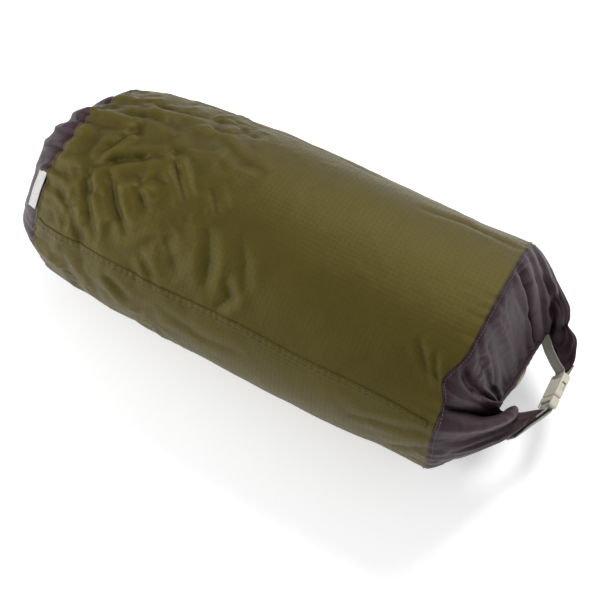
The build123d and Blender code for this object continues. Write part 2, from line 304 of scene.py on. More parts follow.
def settled_cloth(points):
    """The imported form's cloth after it has settled. The cloth is cut a few percent larger than the
    form it lies on, most at the bottom third, so it buckles into soft folds while each point is
    drawn back to its place. Returns how far every point moved."""
    rows, columns = points.shape[:2]
    mesh = bpy.data.meshes.new("settling")
    mesh.from_pydata(points.reshape(-1, 3).tolist(), [], grid_faces(rows, columns, True).tolist())
    cloth = bpy.data.objects.new("settling", mesh)
    scene.collection.objects.link(cloth)
    x = points[..., 0]
    slack = np.clip((0.03 - x) / 0.16, 0.12, 1)
    hold = np.where(points[..., 2] < 0.012, 0.9, 0.42) + 0.3 * np.clip((x - 0.19) / 0.04, 0, 1)
    hold = np.clip(hold, 0, 0.97)
    hold[[0, 1, -1, -2]] = 1
    for name, weights in (("hold", hold), ("tightness", 1 - slack)):
        group = cloth.vertex_groups.new(name=name)
        for level in np.unique(weights.round(2)):
            group.add(np.flatnonzero(weights.round(2).ravel() == level).tolist(), float(level), "REPLACE")
    modifier = cloth.modifiers.new("cloth", "CLOTH")
    settings = modifier.settings
    settings.quality = 5
    settings.mass = 0.05
    settings.tension_stiffness = settings.compression_stiffness = 18
    settings.shear_stiffness = 9
    settings.bending_stiffness = 7.0
    settings.air_damping = 1.5
    settings.vertex_group_mass = "hold"
    settings.pin_stiffness = 0.12
    settings.vertex_group_shrink = "tightness"
    settings.shrink_min, settings.shrink_max = -0.06, 0.0
    settings.effector_weights.gravity = 0
    modifier.collision_settings.use_collision = False
    frames = 24
    modifier.point_cache.frame_start, modifier.point_cache.frame_end = 1, frames
    for frame_number in range(1, frames + 1):
        scene.frame_set(frame_number)
    shape = cloth.evaluated_get(bpy.context.evaluated_depsgraph_get()).to_mesh()
    settled = np.empty(rows * columns * 3)
    shape.vertices.foreach_get("co", settled)
    bpy.data.objects.remove(cloth)
    scene.frame_set(1)
    return settled.reshape(points.shape) - points


# ---- body panel --------------------------------------------------------------------------------
# One piece of olive ripstop nylon round the load, cut 0.76 x 0.46 m, joined to itself by the
# lengthwise seam. It is slack near the bottom, where it is creased, and drawn smooth near the mouth.
draws = np.random.default_rng(11)


def lumps(shape, passes, size):
    """Smoothed random heights on a closed grid, size metres in standard deviation."""
    field = smoothed(draws.normal(size=shape), passes)
    return field / field.std() * size


def refined(values, factor, closed):
    """Values interpolated along the first axis by Catmull-Rom cubics, factor steps to an interval."""
    count = len(values)
    steps = count * factor if closed else (count - 1) * factor + 1
    marks = np.arange(steps) / factor
    base = np.floor(marks).astype(int)
    base = base if closed else np.minimum(base, count - 2)
    t = (marks - base).reshape((-1,) + (1,) * (values.ndim - 1))
    spots = [base + step for step in (-1, 0, 1, 2)]
    spots = [spot % count if closed else np.clip(spot, 0, count - 1) for spot in spots]
    p0, p1, p2, p3 = (values[spot] for spot in spots)
    cubic = 2 * p1 + (p2 - p0) * t + (2 * p0 - 5 * p1 + 4 * p2 - p3) * t**2
    return (cubic + (3 * p1 - p0 - 3 * p2 + p3) * t**3) / 2


def crease_field(creases, along, across):
    """Height of all creases at cloth coordinates in mm. A crease follows straight runs between its
    points: a valley of its depth and half width, with a softer ridge on each side, and a step from
    its right side up to its left, where the cloth laps over. It fades out at both ends. A negative
    depth makes a ridge between two valleys."""
    height = np.zeros(np.broadcast(along, across).shape)
    for points, depth, width in creases:
        near = np.full(height.shape, 1e3)
        fade = np.zeros(height.shape)
        side = np.zeros(height.shape)
        ends = np.array(points, float)
        runs = np.linalg.norm(np.diff(ends, axis=0), axis=1)
        total, done = runs.sum(), 0.0
        for start, end, run in zip(ends[:-1], ends[1:], runs):
            step = (end - start) / run
            t = np.clip((along - start[0]) * step[0] + (across - start[1]) * step[1], 0, run)
            gap = np.hypot(along - start[0] - step[0] * t, across - start[1] - step[1] * t)
            place = (done + t) / total
            off_line = (across - start[1]) * step[0] - (along - start[0]) * step[1]
            closer = gap < near
            side = np.where(closer, off_line, side)
            near = np.where(closer, gap, near)
            fade = np.where(closer, np.sqrt(np.clip(4 * place * (1 - place), 0, 1)), fade)
            done += run
        ridges = 0.45 * np.exp(-(((near - 2.2 * width) / (1.2 * width)) ** 2))
        valley = 0.4 * np.exp(-((near / width) ** 2)) + 0.6 * np.exp(-near / (0.7 * width))
        step_up = 0.4 * np.tanh(side / 1.6) * np.exp(-near / (2.4 * width))
        height += depth * fade * (ridges - valley + step_up)
    return height


# creases as ([(along, across)...], depth, half width) in mm: along from the sack's middle towards
# the mouth, across from the crown, positive to the far side. Most fan out from the bottom seam
body_creases = [
    ([(-186, -46), (-176, -12), (-166, 20)], 2.4, 4.0),
    ([(-184, -52), (-152, -26), (-120, -8)], 3.0, 4.5),
    ([(-186, -56), (-170, -78)], 2.0, 3.5),
    ([(-184, -66), (-164, -94), (-142, -120)], 2.2, 4.0),
    ([(-166, -46), (-138, -78), (-112, -100)], 2.6, 4.5),
    ([(-134, -38), (-104, -74)], 2.2, 4.0),
    ([(-128, -4), (-92, -14)], -2.0, 4.0),
    ([(-116, 2), (-95, -24), (-72, -46)], 2.6, 3.5),
    ([(-150, -62), (-128, -52), (-104, -50)], -1.8, 4.0),
    ([(-205, 22), (-172, 34), (-140, 30)], 1.8, 4.5),
    ([(-196, 62), (-150, 58), (-118, 70)], 1.8, 5.0),
    ([(-214, -84), (-184, -104), (-160, -132)], 2.0, 4.0),
    ([(-206, -110), (-186, -128)], -1.6, 3.5),
    ([(-90, 44), (-52, 22), (-20, 20)], 1.2, 5.0),
    ([(-58, -20), (-36, -44)], 1.4, 4.0),
    ([(-38, -58), (-22, -86), (-16, -114)], 2.2, 6.0),
    ([(-2, -96), (12, -110), (0, -128)], 1.8, 5.0),
    ([(-6, -50), (12, -74), (22, -100)], 1.0, 5.0),
    ([(-74, -84), (-44, -116)], 1.2, 6.0),
    ([(-96, -112), (-70, -130)], 1.8, 4.0),
    ([(-130, -150), (-96, -172)], 1.8, 5.0),
    ([(-60, -158), (-10, -170), (40, -160)], 1.2, 6.0),
    ([(186, -66), (216, -90)], 1.6, 3.0),
    ([(206, -70), (230, -94)], 1.5, 2.6),
    ([(196, -206), (214, -186), (232, -164)], 1.6, 5.0),
    ([(150, -172), (196, -160), (230, -146)], 1.2, 5.0),
    ([(120, 70), (170, 84), (228, 78)], 1.1, 5.0),
    ([(-60, 110), (10, 118), (70, 104)], 1.3, 6.0),
    ([(-180, 120), (-130, 132), (-90, 126)], 2.0, 5.0),
    ([(-200, 150), (-150, 172)], 2.0, 5.0),
    ([(60, 150), (130, 158), (200, 150)], 1.2, 6.0),
]
open_form = form[:, :-1]
outward = normals(open_form, True)
outward *= np.sign(outward[60, around_count // 2, 2])
start_shape = open_form + outward * lumps(open_form.shape[:2], 14, 0.002)[..., None]
moved = settled_cloth(start_shape) + start_shape - open_form
rise = (moved * outward).sum(axis=-1)
rise -= smoothed(rise, 60) * 0.6
underneath = np.clip((open_form[..., 2] - 0.004) / 0.03, 0, 1)
slack_share = 0.10 + 0.16 * np.clip((0.0 - open_form[..., 0]) / 0.12, 0, 1)
slack_share *= 1 - 0.6 * np.clip((-0.222 - open_form[..., 0]) / 0.02, 0, 1)
rise = np.clip(rise * (0.1 + 0.9 * underneath) * slack_share, -0.005, 0.003)
load_lumps = lumps(rise.shape, 160, 0.0016) * underneath
load_lumps = load_lumps * np.clip((collar_seam_x - open_form[..., 0]) / 0.05, 0, 1)

fine = 2
skin_form, skin_rise = (
    refined(refined(grid, fine, False).swapaxes(0, 1), fine, True).swapaxes(0, 1)
    for grid in (open_form, rise + load_lumps)
)
skin_rise += 0.9 * (skin_rise - smoothed(skin_rise, 8))
skin_out = normals(skin_form, True)
skin_out *= np.sign(skin_out[120, around_count, 2])
skin_columns = around_count * fine
seam_row *= fine
across_skin = (np.arange(skin_columns) / skin_columns - 0.5) * girth
along_skin = skin_form[:, skin_columns // 2, 0]
crown_steps = np.linalg.norm(np.diff(skin_form[:, skin_columns // 2], axis=0), axis=1)
along_cloth = np.concatenate([[0], np.cumsum(crown_steps)])
along_cloth -= along_cloth[seam_row]


def gathers(columns, waves, size):
    """Uneven waves round a seam: a sum of cosines whose counts scatter about waves, size metres high."""
    turn = np.arange(columns) / columns * 2 * np.pi
    counts = np.round(waves * draws.uniform(0.55, 1.5, 9))
    phases = draws.uniform(0, 2 * np.pi, 9)
    pattern = np.cos(counts[:, None] * turn + phases[:, None]).sum(axis=0)
    swell = 1 + 0.5 * np.cos(3 * turn + phases[0]) * np.cos(5 * turn + phases[1])
    return pattern / pattern.std() * swell * size


def crumple(shape, passes):
    """A net of creases like crushed paper's: sharp where a smoothed random field changes sign, and
    stronger where a wider field is high."""
    field = smoothed(draws.normal(size=shape), passes)
    net = np.exp(-np.abs(field) / field.std() / 0.12)
    net = net * np.sign(smoothed(draws.normal(size=shape), passes * 3))
    strength = smoothed(draws.normal(size=shape), passes * 3)
    return smoothed(net, 1) * np.clip(strength / strength.std() + 0.3, 0, 1.6)


mm = 1000
body_relief = 1.35 * crease_field(body_creases, along_skin[:, None] * mm, across_skin[None, :] * mm) / mm
bottom_gap = np.abs(along_cloth)[:, None]
mouth_gap = (collar_seam_x - along_skin)[:, None]
pucker = gathers(skin_columns, 46, 0.0009) * np.exp(-bottom_gap / 0.013)
pucker = pucker + gathers(skin_columns, 24, 0.0011) * np.exp(-bottom_gap / 0.034)
pucker = pucker + gathers(skin_columns, 50, 0.0003) * np.exp(-mouth_gap / 0.012)
seam_nip = -0.0012 * np.exp(-((bottom_gap / 0.003) ** 2))
clear_of_ground = np.clip((skin_form[..., 2] - 0.002) / 0.02, 0, 1)
crushed = np.clip((0.06 - along_skin) / 0.14, 0.16, 1)[:, None]
crushed = crushed * (crumple(skin_form.shape[:2], 16) * 0.0013 + crumple(skin_form.shape[:2], 60) * 0.0024)
skin_height = skin_rise + (body_relief + pucker + seam_nip + crushed) * clear_of_ground
tag_zone = np.clip(1.6 - np.abs(across_skin[None, :] + 0.109) / 0.024, 0, 1)
tag_zone = tag_zone * np.clip((-0.224 - along_skin) / 0.006, 0, 1)[:, None]
skin_height = skin_height * (1 - tag_zone) - 0.0006 * tag_zone
skin = skin_form + skin_out * skin_height[..., None]
near_mouth = np.exp(-((collar_seam_x - along_skin) / 0.03))[:, None]
low_near = np.exp(-(((across_skin + 0.205) / 0.055) ** 2))[None, :]
drawn_in = np.exp(-(((across_skin + 0.086) / 0.016) ** 2))[None, :]
skin[..., 0] += near_mouth * (0.006 * low_near - 0.010 * drawn_in)
skin[..., 2] -= near_mouth * 0.005 * drawn_in
skin[..., 1] += 0.010 * np.exp(-((collar_seam_x - along_skin) / 0.06))[:, None] * low_near
skin[..., 2] += 0.010 * near_mouth * np.clip((0.06 - skin[..., 2]) / 0.06, 0, 1)
skin[..., 2] = np.maximum(skin[..., 2], 0.0002)
# painted light and shade for the body cloth's colour: lighter on the tops of its relief, darker in its
# creases and hollows
painted_fold_shade = smoothed(skin_height, 2) - smoothed(skin_height, 14)
painted_fold_shade = np.clip(painted_fold_shade / 0.0016, -1, 1)


def finished(name, mesh, finish, body):
    """The object of a mesh, with its material and slot. A blended piece rides on no body."""
    mesh.materials.append(finish)
    piece = bpy.data.objects.new(name, mesh)
    scene.collection.objects.link(piece)
    if body is not None:
        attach(piece, body)
    return piece


def cloth_piece(name, points, finish, body, closed=True, caps=False, uv=None, shade=None):
    """A piece made from a grid of points, with its ends capped where it is a closed tube. uv is the
    pair of cloth coordinates, across (a value more than there are columns when closed) and along.
    Its faces are turned outwards: away from the grid's own middle line."""
    rows, columns = points.shape[:2]
    faces = grid_faces(rows, columns, closed)
    middle = points.mean(axis=1, keepdims=True)
    facing = (normals(points, closed) * (points - middle)).sum()
    flipped = facing > 0
    if flipped:
        faces = faces[:, ::-1]
    polygons = faces.tolist()
    if caps:
        ends = [list(range(columns)), list(range((rows - 1) * columns, rows * columns))[::-1]]
        polygons += [end[::-1] for end in ends] if not flipped else ends
    mesh = bpy.data.meshes.new(name)
    mesh.from_pydata(points.reshape(-1, 3).tolist(), [], polygons)
    mesh.polygons.foreach_set("use_smooth", [True] * len(polygons))
    if uv is not None:
        across, along = uv
        spread = np.arange(columns + closed)
        row_of, column_of = np.meshgrid(np.arange(rows - 1), spread[:-1], indexing="ij")
        corner_rows = np.stack([row_of, row_of, row_of + 1, row_of + 1], axis=-1).reshape(-1, 4)
        corner_columns = np.stack([column_of, column_of + 1, column_of + 1, column_of], axis=-1)
        corner_columns = corner_columns.reshape(-1, 4)
        if flipped:
            corner_rows, corner_columns = corner_rows[:, ::-1], corner_columns[:, ::-1]
        across = np.broadcast_to(across, (rows, columns + closed))
        along = np.broadcast_to(np.reshape(along, (rows, -1)), (rows, columns + closed))
        spots = (corner_rows, corner_columns)
        corners = np.stack([across[spots], along[spots]], axis=-1)
        layer = mesh.uv_layers.new(name="cloth")
        flat_corners = np.zeros((len(mesh.loops), 2))
        flat_corners[: len(faces) * 4] = corners.reshape(-1, 2)
        layer.data.foreach_set("uv", flat_corners.ravel())
    # shade: painted light and shade for the cloth's colour, kept as the fold attribute
    if shade is not None:
        layer = mesh.attributes.new("fold", "FLOAT", "POINT")
        layer.data.foreach_set("value", np.ascontiguousarray(shade, dtype=np.float32).ravel())
    mesh.update()
    return finished(name, mesh, finish, body)


def woven_nylon(name, thread, gleam, slubs, ripstop, gloss, shine):
    """Light nylon cloth. Colour: thread, with painted light on fold tops and painted shade in valleys,
    from the piece's fold values, a deeper painted shade where they fall under -1, in faint uneven
    patches and, on ripstop, with a 5 mm grid of heavier threads. Other cloth has ribs instead, bent
    by its slubs. Bump: a plain weave, the grid or the ribs and a fine crinkle. gleam tints the
    reflections, gloss is the roughness and shine their strength."""
    cloth = Finish(name)
    across, along = cloth.cloth_ways()
    # fold: the painted light and shade that each piece carries, from -2 to 1
    fold = cloth.node("ShaderNodeAttribute", {"attribute_name": "fold"}, output=2)
    patch = cloth.noise(cloth.solid(), 0.07, 3)
    crinkle = cloth.noise(cloth.solid(), 0.006, 4, 0.6)
    weave = across.waves(0.0007) * along.waves(0.0007)
    # painted light and shade from the fold values, with faint random patches and a fine mottle
    painted_fold_light_and_patches = fold * 0.36 + (patch - 0.5) * 0.3 + (crinkle - 0.5) * 0.2 + 0.5
    shares = (0.16, 0.45, 1.55)
    deep, dark, light = (tuple(share * channel for channel in thread) + (1,) for share in shares)
    # painted deep shade where the fold value is under -1
    painted_deep_shade = (fold + 1) * -1
    shade = cloth.blend(painted_deep_shade, cloth.blend(painted_fold_light_and_patches, dark, light), deep)
    rough = (patch - 0.5) * 0.12 + (crinkle - 0.5) * 0.1 + gloss
    height = weave * 0.12 + crinkle * 0.9
    if ripstop:
        grid = across.from_line(0.005).below(0.0002, 0.0008)
        grid = grid.maths("MAXIMUM", grid, along.from_line(0.005).below(0.0002, 0.0008))
        shade = cloth.blend(grid * 0.12, shade, light)
        height = height + grid * 0.22
        rough = rough - grid * 0.06
    else:
        rib = (along * (math.tau / 0.0011) + patch * slubs).sine()
        height = height + rib * 0.1
    bump = cloth.bump(height, 0.00035, 0.8)
    return cloth.surface(
        Base_Color=shade, Roughness=rough, Normal=bump, Specular_IOR_Level=shine, Specular_Tint=gleam,
    )


olive_ripstop = woven_nylon(
    "olive_ripstop", thread=(0.0555, 0.0425, 0.0072), gleam=(1.0, 0.85, 0.32, 1),
    slubs=0.0, ripstop=True, gloss=0.5, shine=0.36,
)
plum_nylon = woven_nylon(
    "plum_nylon", thread=(0.0300, 0.0178, 0.0212), gleam=(0.72, 0.47, 0.56, 1),
    slubs=9.0, ripstop=False, gloss=0.45, shine=0.34,
)
around_cloth = np.append(across_skin, girth / 2)
body_panel = cloth_piece(
    "body_cloth", skin[seam_row:], olive_ripstop, "root",
    uv=(around_cloth, along_cloth[seam_row:]), shade=painted_fold_shade[seam_row:],
)
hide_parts("body_panel")

# ---- bottom panel ------------------------------------------------------------------------------
# An oval of plum nylon, its edge turned in and sewn to the body's gathered end. The load pushes it
# out, so that it rolls over into the body.
cap_shares = np.linspace(0, 1, 26)[:-1, None, None] ** 0.8
cap_ring = skin[0]
cap_middle = np.array([bottom_end_x - 0.002, 0.0, cap_ring[:, 2].mean()])
even_ring = smoothed(np.repeat(cap_ring[None], 3, axis=0), 150)[0]
cap = cap_middle + (even_ring + (cap_ring - even_ring) * cap_shares**3 - cap_middle) * cap_shares
cap = cap[1:]
cap_shares = cap_shares[1:]
cap_wave = (np.sin(np.pi * cap_shares[..., 0]) * cap_shares[..., 0]) ** 1.8
cap_wave = gathers(skin_columns, 9, 0.0022) * cap_wave
cap[..., 0] -= cap_wave + 0.0015 * np.cos(np.pi / 2 * cap_shares[..., 0])
bottom_grid = np.concatenate([cap, skin[: seam_row + 1]])
# painted light on the bottom panel's gather crests and painted shade between them, joined to the body's
# painted light and shade at the rim
cap_painted_shade = np.clip(cap_wave / 0.002, -1, 1)
bottom_painted_shade = np.concatenate([cap_painted_shade, painted_fold_shade[: seam_row + 1]])
cap_radius = np.linalg.norm(cap_ring - cap_middle, axis=-1).mean()
rim_run = cap_radius + along_cloth[: seam_row + 1] - along_cloth[0]
bottom_run = np.concatenate([cap_radius * cap_shares[:, 0, 0], rim_run])
bottom_turn = around_cloth / girth * 2 * np.pi
bottom_panel = cloth_piece(
    "bottom_cloth", bottom_grid, plum_nylon, "root",
    uv=(bottom_run[:, None] * np.cos(bottom_turn), bottom_run[:, None] * np.sin(bottom_turn)),
    shade=bottom_painted_shade,
)


def close_pole(piece, columns, tip):
    """Closes the small hole in the middle of a rounded end with a fan of triangles to tip."""
    shape = bmesh.new()
    shape.from_mesh(piece.data)
    shape.verts.ensure_lookup_table()
    ring = shape.verts[:columns]
    centre = shape.verts.new(tip)
    for first, second in zip(ring, ring[1:] + ring[:1]):
        shape.faces.new((first, second, centre)).smooth = True
    bmesh.ops.recalc_face_normals(shape, faces=shape.faces)
    shape.to_mesh(piece.data)
    shape.free()


close_pole(bottom_panel, skin_columns, (cap[0, :, 0].mean(), 0.0, cap_middle[2]))
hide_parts("bottom_panel")

# ---- packed load -------------------------------------------------------------------------------
# What is packed in the sack: a soft bundle that fills it and presses the cloth out everywhere.
load_grid = np.concatenate([bottom_grid[:-1:4, ::4], skin[seam_row + 4 :: 4, ::4]])
load_out = normals(load_grid, True)
load_out *= np.sign(load_out[40, load_grid.shape[1] // 2, 2])
load_grid = load_grid - load_out * 0.008
load_grid[..., 0] = np.clip(load_grid[..., 0], bottom_end_x + 0.006, collar_seam_x - 0.006)
wadding = Finish("grey_wadding")
wadding_tufts = wadding.noise(wadding.solid(), 0.01, 4)
wadding_shade = wadding.blend(wadding_tufts, (0.16, 0.16, 0.17, 1), (0.3, 0.3, 0.31, 1))
wadding.surface(Base_Color=wadding_shade, Roughness=0.9, Normal=wadding.bump(wadding_tufts, 0.002))
load_padding = cloth_piece("load_padding", load_grid, wadding.material, "root", caps=True)
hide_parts("packed_load")

# ---- collar ------------------------------------------------------------------------------------
# A tube of plum nylon sewn to the body's mouth. It is drawn down in deep folds to the rolled mouth,
# and its two corners are bent outwards with the roll's ends to make the arms of the carry loop.
roll_place = Vector((0.268, 0.0, 0.081))
droop = math.radians(25)
loop_out = np.array([math.cos(droop), 0, -math.sin(droop)])
loop_side = np.array([0.0, 1.0, 0.0])
loop_up = np.array([math.sin(droop), 0, math.cos(droop)])


def on_loop(out, side, up):
    """Points in metres from millimetres in the carry loop's plane: out from the roll's middle line,
    side across the sack and up off the plane."""
    out, side, up = np.broadcast_arrays(out, side, up)
    spread = out[..., None] * loop_out + side[..., None] * loop_side + up[..., None] * loop_up
    return np.array(roll_place) + spread / mm


def along_points(stations, values, place):
    """Values at place, by a smooth monotone curve through the values at the stations."""
    stations, values = np.array(stations, float), np.array(values, float)
    spot = np.clip(np.searchsorted(stations, place) - 1, 0, len(stations) - 2)
    t = (place - stations[spot]) / (stations[spot + 1] - stations[spot])
    t = np.clip(t, 0, 1)
    t = 0.5 * t + 0.5 * t * t * (3 - 2 * t)
    t = t.reshape(t.shape + (1,) * (values.ndim - 1))
    return values[spot] * (1 - t) + values[spot + 1] * t


# where the cloth that leaves the seam at an arc (mm from the crown) ends on the mouth: its place
# out, side and up in the loop's plane, and the run in which it arrives there
upper_ends = [
    (-196, (37, -21, 0), (-38, 56, -44)),
    (-170, (34, -18, 2), (-36, 50, -50)),
    (-140, (20, -29, 4), (-20, 34, -48)),
    (-118, (7, -37, 6), (-4, 26, -40)),
    (-98, (-1, -38, 10), (14, 6, -22)),
    (-60, (-1, -22, 11), (22, 0, -10)),
    (-10, (1, 6, 11), (22, 0, -8)),
    (45, (4, 38, 11), (22, 0, -8)),
    (82, (7, 59, 10), (16, -6, -20)),
    (104, (15, 68, 6), (-6, -32, -44)),
    (134, (32, 59, 4), (-40, -56, -52)),
    (166, (47, 47, 2), (-60, -66, -52)),
    (196, (52, 43, 0), (-78, -58, -40)),
]
lower_ends = [
    (190, (52, 43, 0), (-78, -58, 40)),
    (212, (38, 55, -3), (-36, -50, 50)),
    (236, (15, 68, -6), (-4, -30, 46)),
    (262, (5, 58, -10), (16, -4, 20)),
    (330, (1, 26, -11), (20, 0, 8)),
    (430, (-1, 0, -11), (20, 0, 8)),
    (500, (-2, -34, -10), (14, 4, 20)),
    (524, (7, -37, -6), (-4, 24, 40)),
    (548, (20, -30, -4), (-20, 32, 48)),
    (571, (37, -21, 0), (-38, 56, 44)),
]
collar_columns, collar_rows = 400, 72
collar_run = 85
arc = np.arange(collar_columns) / collar_columns * girth * mm - girth * mm / 2
arc_below = np.where(arc < 0, arc + girth * mm, arc)
is_upper = np.abs(arc) <= 191
ends = np.zeros((2, collar_columns, 3))
for part, rows in ((is_upper, upper_ends), (~is_upper, lower_ends)):
    place = arc[part] if rows is upper_ends else arc_below[part]
    stations = [row[0] for row in rows]
    for kind in (0, 1):
        ends[kind][part] = along_points(stations, [row[kind + 1] for row in rows], place)
for _ in range(3):
    ends = (np.roll(ends, 1, 1) + 2 * ends + np.roll(ends, -1, 1)) / 4
mouth = on_loop(ends[0, :, 0], ends[0, :, 1], ends[0, :, 2])
arrival = on_loop(ends[1, :, 0], ends[1, :, 1], ends[1, :, 2]) - np.array(roll_place)
rim_marks = (arc / mm / girth + 0.5) * skin_columns
rim_spot = np.floor(rim_marks).astype(int)
rim_share = (rim_marks - rim_spot)[:, None]
rim = skin[-1, rim_spot % skin_columns] * (1 - rim_share)
rim = rim + skin[-1, (rim_spot + 1) % skin_columns] * rim_share
side_share = np.exp(-(((np.abs(arc) - 190) / 60) ** 2))[:, None]
far_share = np.clip(arc / 150, 0, 1)[:, None] * side_share
leave = np.zeros((collar_columns, 3))
leave[:, :1] = 0.046 + 0.012 * side_share + 0.024 * far_share
v = (np.linspace(0, 1, collar_rows) ** 0.95)[:, None, None]
collar = (
    (2 * v**3 - 3 * v**2 + 1) * rim
    + (v**3 - 2 * v**2 + v) * leave
    + (3 * v**2 - 2 * v**3) * mouth
    + (v**3 - v**2) * arrival
)

# folds as (arc at the seam, arc at the mouth, depth, half width, lap) in mm. Ridges have negative
# depth. The cloth below a fold laps up over it by its lap, or, where that is negative, the cloth above
collar_folds = [
    (-111, -122, 20.0, 8.0, 9.0),
    (-88, -112, 9.0, 6.0, 2.5),
    (-66, -100, 6.0, 4.0, 1.5),
    (-40, -86, 3.6, 4.0),
    (-20, -50, 2.2, 9.0),
    (6, -20, -2.0, 9.0),
    (30, 36, 2.4, 8.0),
    (46, 58, 13.0, 7.0, -6.0),
    (70, 92, 1.6, 4.0),
    (98, 104, 4.5, 5.0, -1.5),
    (128, 126, 2.0, 4.0),
    (150, 142, 2.4, 5.0),
    (170, 160, 1.8, 6.0),
    (196, 190, 2.2, 6.0),
    (-134, -137, -5.5, 9.0),
    (-158, -150, 2.6, 5.0),
    (-166, -160, 2.0, 6.0),
    (-188, -180, 2.6, 6.0),
    (-214, -200, 2.0, 7.0),
    (-240, -214, 2.8, 7.0),
    (-270, -250, 2.4, 9.0),
    (230, 222, 2.8, 8.0),
    (260, 240, 2.6, 8.0),
    (300, 286, 2.2, 10.0),
    (340, 330, 2.0, 10.0),
]
down = v[..., 0]
collar_rise = np.zeros((collar_rows, collar_columns))
collar_lap = np.zeros((collar_rows, collar_columns))
for seam_arc, mouth_arc, depth, width, *lap in collar_folds:
    line = seam_arc + (mouth_arc - seam_arc) * down**0.8
    off = (arc[None, :] - line + girth * mm / 2) % (girth * mm) - girth * mm / 2
    reach = down**0.5 * np.clip((1 - down) / 0.12, 0, 1) ** 0.5
    valley = 0.4 * np.exp(-(((np.abs(off) - 2.1 * width) / width) ** 2))
    valley -= 0.5 * np.exp(-((off / width) ** 2)) + 0.5 * np.exp(-np.abs(off) / (0.7 * width))
    collar_rise += depth * reach * valley
    for slip in lap:
        collar_lap += slip * reach * np.exp(-(((off + np.sign(slip) * 1.3 * width) / (1.2 * width)) ** 2))
collar_creases = [
    ([(76, 100), (66, 122), (54, 148), (45, 186), (43, 214)], 4.5, 4.0),
    ([(60, 96), (48, 112), (42, 130)], 2.6, 3.0),
    ([(30, 92), (42, 104), (52, 122)], 2.4, 3.0),
    ([(14, 20), (40, 34), (60, 62)], 1.8, 3.5),
    ([(20, -40), (44, -50), (62, -76)], 1.8, 3.0),
    ([(10, -66), (30, -84), (52, -100)], 2.4, 3.0),
    ([(22, -144), (46, -140), (70, -146)], 1.8, 3.0),
    ([(14, -176), (40, -166), (66, -164)], 1.8, 3.0),
    ([(10, 150), (30, 160), (40, 180)], 1.6, 3.0),
]
collar_rise += crease_field(collar_creases, down * collar_run, arc[None, :])
crinkle_count = np.array([23, 31, 38, 47, 59, 71])
crinkle_phase = draws.uniform(0, 2 * np.pi, (6, 1, 1))
turn = (arc / mm / girth * 2 * np.pi)[None, :]
crinkle_bend = 1.5 * np.sin(3 * down + crinkle_phase)
crinkles = np.cos(crinkle_count[:, None, None] * turn + crinkle_phase + crinkle_bend)
crinkles = crinkles.sum(axis=0) * 0.28 * down**0.6 * np.clip((1 - down) / 0.1, 0, 1)
crushed = crumple((collar_rows, collar_columns), 12) * 1.2
crushed = crushed + crumple((collar_rows, collar_columns), 36) * 2.0
crushed = crushed * np.clip(down * 6, 0, 1) * np.clip((1 - down) * 8, 0, 1)
collar_rise = (collar_rise + crinkles + crushed) / mm
collar_out = normals(collar, True)
collar_out *= np.sign(collar_out[4, collar_columns // 2, 2])
for _ in range(4):
    collar_out[1:-1] = (collar_out[:-2] + 2 * collar_out[1:-1] + collar_out[2:]) / 4
    collar_out = (np.roll(collar_out, 1, 1) + 2 * collar_out + np.roll(collar_out, -1, 1)) / 4
collar_out /= np.linalg.norm(collar_out, axis=-1, keepdims=True)
collar_side = np.roll(collar, -1, 1) - np.roll(collar, 1, 1)
collar_side /= np.linalg.norm(collar_side, axis=-1, keepdims=True)
collar = collar + collar_out * collar_rise[..., None] + collar_side * (collar_lap / mm)[..., None]
collar[..., 2] = np.maximum(collar[..., 2], 0.0006)
# painted light on the collar's ridges and painted shade in its folds, twice as dark in the deepest, all of
# it a little darker
painted_collar_shade = np.clip((smoothed(collar_rise, 1) - smoothed(collar_rise, 24)) / 0.0022 - 0.1, -2, 1)
collar_along = np.linspace(0, collar_run / mm, collar_rows)
collar_across = np.append(arc, girth * mm / 2) / mm
collar_cloth = cloth_piece(
    "collar_cloth", collar, plum_nylon, None,
    uv=(collar_across, collar_along), shade=painted_collar_shade,
)
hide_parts("collar_panel", "far_arm_cloth")
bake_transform(collar_cloth)

# ---- mouth roll --------------------------------------------------------------------------------
# The mouth's hem, stiffened by a tape and rolled over itself three times into a firm flat roll. Its
# layers show as grooves along it, and the edge of the tape looks out between two of them.
roll_side = np.linspace(-44, 68, 90)[:, None]
roll_turn = np.linspace(0, 2 * np.pi, 72, endpoint=False)[None, :]
roll_bend = [-44, -4, 15, 60, 68], [-7, 0, 1.5, 4.5, 5]
roll_shift = along_points(*roll_bend, roll_side[:, 0])[:, None]
groove_turns = np.array([-0.85, -0.1, 0.62, 1.35])[:, None]
grooves = np.exp(-((np.angle(np.exp(1j * (roll_turn - groove_turns))) / 0.09) ** 2)).sum(axis=0)[None, :]
roll_swell = 1 - 0.085 * grooves + 0.02 * np.cos(0.21 * roll_side + 2 * roll_turn)
roll_swell = roll_swell * (1 + 0.012 * np.cos(0.9 * roll_side + 5 * roll_turn))
roll_grid = on_loop(
    roll_shift + 9.6 * roll_swell * np.cos(roll_turn),
    roll_side + 0 * roll_turn,
    11.4 * roll_swell * np.sin(roll_turn),
)
# painted shade along the roll's grooves and painted light on the layers between them
roll_cloth = cloth_piece(
    "rolled_mouth", roll_grid, plum_nylon, "loop", caps=True,
    uv=(np.linspace(0, 0.066, 73), roll_side[:, 0] / mm), shade=1 - 2.2 * grooves + 0 * roll_side,
)
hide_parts("mouth_roll")

